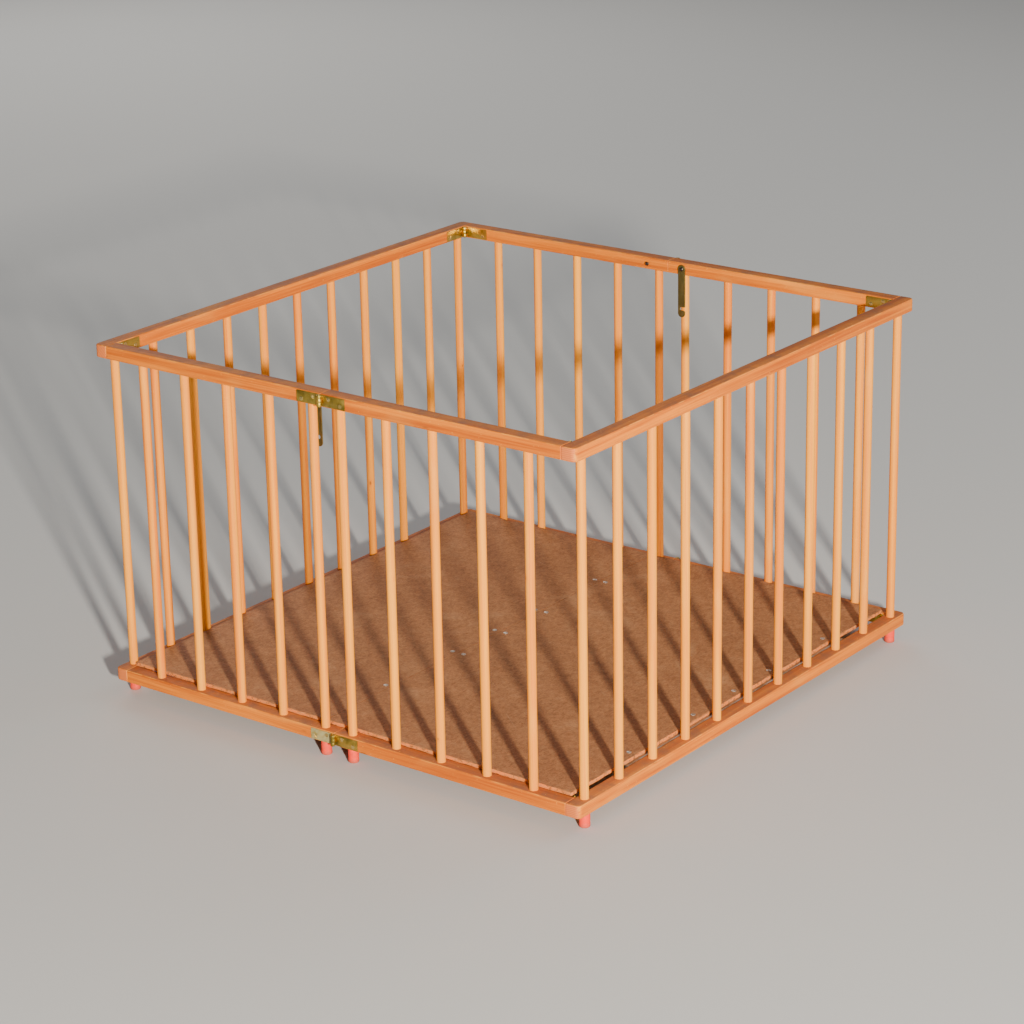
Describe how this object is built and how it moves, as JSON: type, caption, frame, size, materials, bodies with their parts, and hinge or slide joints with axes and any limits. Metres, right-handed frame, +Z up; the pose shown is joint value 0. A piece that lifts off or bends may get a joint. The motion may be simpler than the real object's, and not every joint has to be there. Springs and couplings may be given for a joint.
{
  "type": "playpen",
  "caption": "Square folding wooden playpen: railed panels with round bars, split sides on brass hinges, hook levers, a two-part hinged floor and red rubber feet.",
  "frame": {"origin": "on the ground under the middle of the pen's outline", "axes": "+X along the one-piece panels, +Y from the front panel, which carries the floor's hinge, to the rear panel, across the split sides; +Z up"},
  "size_m": [1.016, 0.996, 0.634],
  "materials": {
    "rail_wood": "satin varnish, worn",
    "bar_wood": "satin varnish",
    "floor_board": "smooth hardboard, scratched",
    "foot_rubber": "matte",
    "brass": "worn satin",
    "hook_metal": "dark bronze lacquer, worn",
    "dark_steel": "dark, satin",
    "rivet_steel": "dull",
    "strip_steel": "satin zinc"
  },
  "bodies": {
    "front_panel": {"front_top_rail": "rail_wood", "front_bottom_rail": "rail_wood", "front_bars": "bar_wood", "front_feet": "foot_rubber", "front_hinge_leaves": "brass", "front_hinge_screws": "brass", "front_hinge_pins": "brass", "floor_edge_rail_leaf": "strip_steel", "floor_edge_pin": "strip_steel", "floor_edge_screws": "strip_steel"},
    "left_front_half": {"left_front_top_rail": "rail_wood", "left_front_bottom_rail": "rail_wood", "left_front_bars": "bar_wood", "left_front_foot": "foot_rubber", "left_front_hinge_leaves": "brass", "left_front_hinge_screws": "brass", "left_mid_pins": "brass", "left_catch": "dark_steel"},
    "left_rear_half": {"left_rear_top_rail": "rail_wood", "left_rear_bottom_rail": "rail_wood", "left_rear_bars": "bar_wood", "left_rear_foot": "foot_rubber", "left_rear_hinge_leaves": "brass", "left_rear_hinge_screws": "brass", "left_hook_pivot": "dark_steel"},
    "left_hook": {"left_hook": "hook_metal"},
    "rear_panel": {"rear_top_rail": "rail_wood", "rear_bottom_rail": "rail_wood", "rear_bars": "bar_wood", "rear_feet": "foot_rubber", "rear_hinge_leaves": "brass", "rear_hinge_screws": "brass", "rear_hinge_pins": "brass"},
    "right_front_half": {"right_front_top_rail": "rail_wood", "right_front_bottom_rail": "rail_wood", "right_front_bars": "bar_wood", "right_front_foot": "foot_rubber", "right_front_hinge_leaves": "brass", "right_front_hinge_screws": "brass", "right_mid_pins": "brass", "right_hook_pivot": "dark_steel"},
    "right_rear_half": {"right_rear_top_rail": "rail_wood", "right_rear_bottom_rail": "rail_wood", "right_rear_bars": "bar_wood", "right_rear_foot": "foot_rubber", "right_rear_hinge_leaves": "brass", "right_rear_hinge_screws": "brass", "right_catch": "dark_steel"},
    "right_hook": {"right_hook": "hook_metal"},
    "floor_front": {"floor_front_board": "floor_board", "floor_edge_board_leaf": "strip_steel", "floor_seam_front_leaf": "strip_steel", "floor_seam_pin": "strip_steel", "floor_front_rivets": "rivet_steel"},
    "floor_rear": {"floor_rear_board": "floor_board", "floor_seam_rear_leaf": "strip_steel", "floor_rear_rivets": "rivet_steel"}
  },
  "joints": [
    {"name": "side_fold", "type": "hinge", "parent": "front_panel", "child": "left_front_half", "pos_m": [-0.4695, -0.4675, 0.33], "axis": [0, 0, -1], "range_deg": [0, 0.45]},
    {"name": "left_mid_hinge", "type": "hinge", "parent": "left_front_half", "child": "left_rear_half", "pos_m": [-0.5035, 0, 0.33], "axis": [0, 0, 1], "range_deg": [0, 0.9]},
    {"name": "rear_left_hinge", "type": "hinge", "parent": "left_rear_half", "child": "rear_panel", "pos_m": [-0.4695, 0.4675, 0.33], "axis": [0, 0, -1], "range_deg": [0, 0.45]},
    {"name": "front_right_hinge", "type": "hinge", "parent": "front_panel", "child": "right_front_half", "pos_m": [0.4695, -0.4675, 0.33], "axis": [0, 0, 1], "range_deg": [0, 0.45]},
    {"name": "right_mid_hinge", "type": "hinge", "parent": "right_front_half", "child": "right_rear_half", "pos_m": [0.5035, 0, 0.33], "axis": [0, 0, -1], "range_deg": [0, 0.9]},
    {"name": "floor_fold", "type": "hinge", "parent": "front_panel", "child": "floor_front", "pos_m": [0, -0.4682, 0.0463], "axis": [1, 0, 0], "range_deg": [0, 88]},
    {"name": "floor_seam_hinge", "type": "hinge", "parent": "floor_front", "child": "floor_rear", "pos_m": [0, 0.0375, 0.0463], "axis": [-1, 0, 0], "range_deg": [0, 176]},
    {"name": "left_hook_swing", "type": "hinge", "parent": "left_rear_half", "child": "left_hook", "pos_m": [-0.4714, 0.031, 0.62275], "axis": [1, 0, 0], "range_deg": [0, 270]},
    {"name": "right_hook_swing", "type": "hinge", "parent": "right_front_half", "child": "right_hook", "pos_m": [0.4714, -0.031, 0.62275], "axis": [-1, 0, 0], "range_deg": [0, 270]}
  ],
  "couplings": [
    {"joint": "left_mid_hinge", "follows": "side_fold", "ratio": 2},
    {"joint": "rear_left_hinge", "follows": "side_fold", "ratio": 1},
    {"joint": "front_right_hinge", "follows": "side_fold", "ratio": 1},
    {"joint": "right_mid_hinge", "follows": "side_fold", "ratio": 2},
    {"joint": "floor_seam_hinge", "follows": "floor_fold", "ratio": 2}
  ]
}
